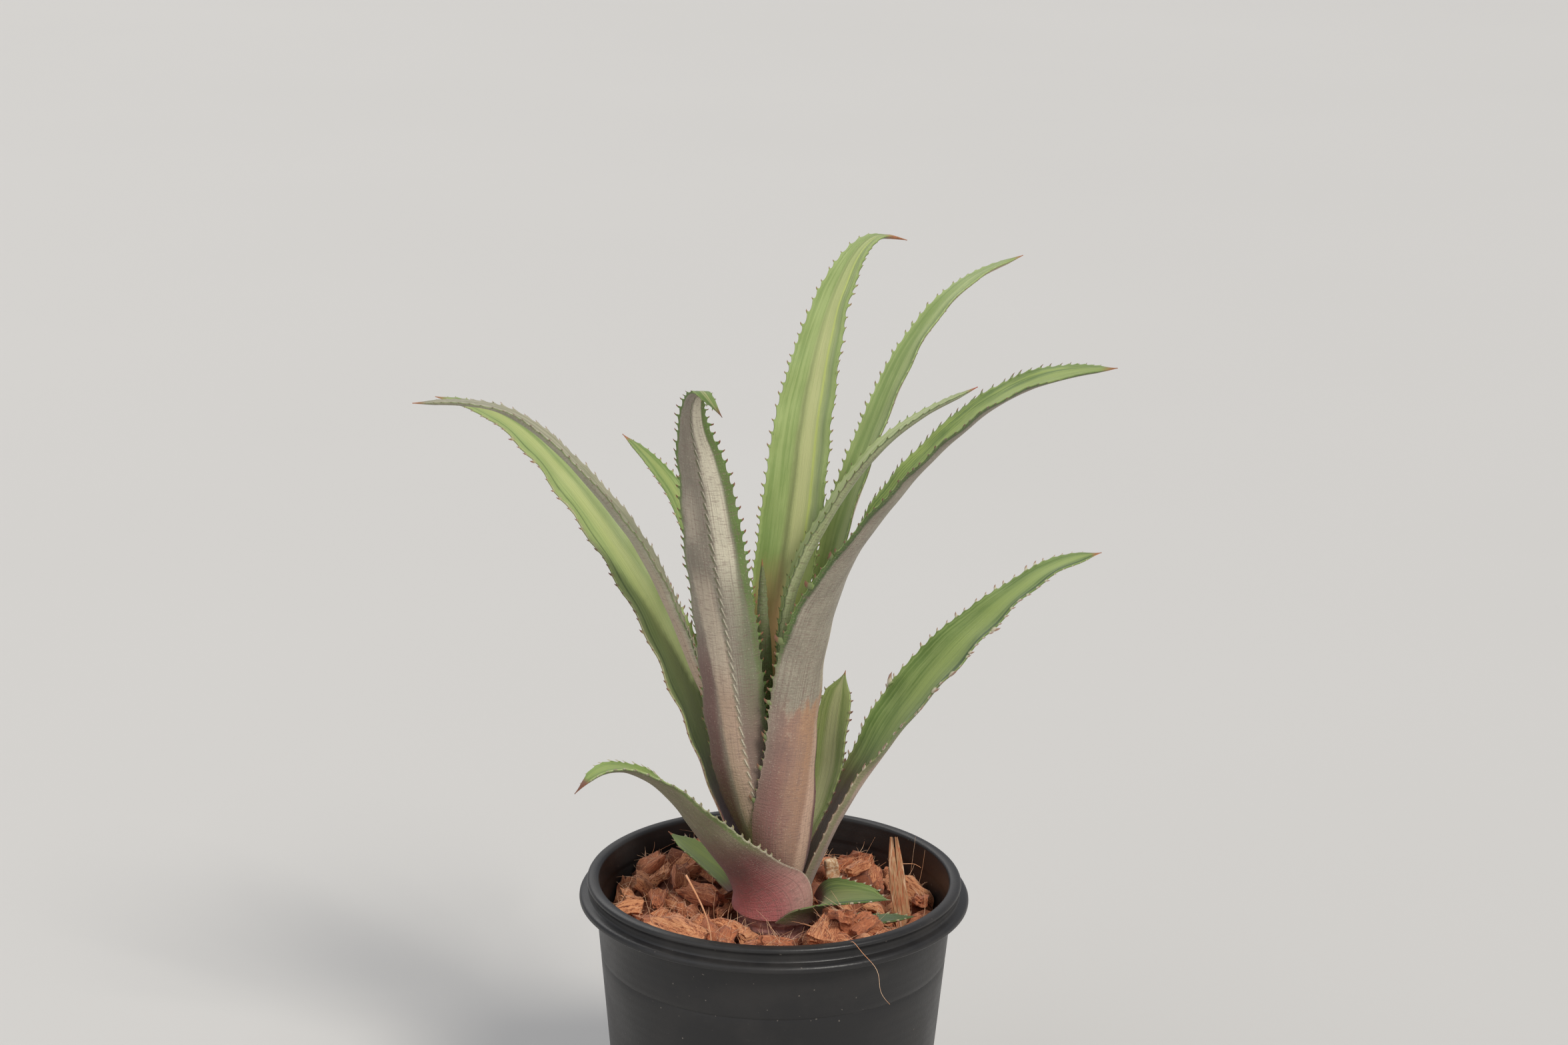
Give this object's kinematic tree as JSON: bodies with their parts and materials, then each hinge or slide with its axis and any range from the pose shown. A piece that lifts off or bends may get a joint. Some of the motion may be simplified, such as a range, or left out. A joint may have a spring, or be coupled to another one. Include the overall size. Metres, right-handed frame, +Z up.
{
  "type": "potted cryptanthus",
  "caption": "Small rosette of narrow, toothed bromeliad leaves on a short stem, growing in coconut husk chips in a plain round nursery pot.",
  "frame": {"origin": "centre of the pot's flat base, on the surface it stands on", "axes": "+Z up along the pot's axis, -Y towards the front of the picture, +X to its right"},
  "size_m": [0.1556, 0.0908, 0.2252],
  "materials": {
    "pot_plastic": "matt charcoal polypropylene with faint scuffs and dust",
    "leaf_green": "living leaf: green face, silver-grey scurfy back, pinkish base",
    "stem_brown": "purple-brown stem with dry leaf bases",
    "coir_brown": "rough fibrous coconut husk",
    "husk_tan": "dry tan husk fibres",
    "husk_pale": "pale husk"
  },
  "bodies": {
    "root": {"pot": "pot_plastic", "leaf_front": "leaf_green", "leaf_right_arching": "leaf_green", "leaf_left_folded": "leaf_green", "leaf_left_open": "leaf_green", "leaf_left_small": "leaf_green", "leaf_tall_back": "leaf_green", "leaf_tall_right": "leaf_green", "leaf_right_inner": "leaf_green", "leaf_right_low": "leaf_green", "leaf_short_upright": "leaf_green", "leaf_centre_spike": "leaf_green", "leaf_lower_left": "leaf_green", "leaf_lower_left_short": "leaf_green", "leaf_lower_right_short": "leaf_green", "leaf_lower_right_tiny": "leaf_green", "leaf_back_short": "leaf_green", "stem": "stem_brown", "coir_medium": "coir_brown", "husk_splinter": "husk_tan", "husk_chip_pale": "husk_pale"}
  },
  "joints": []
}
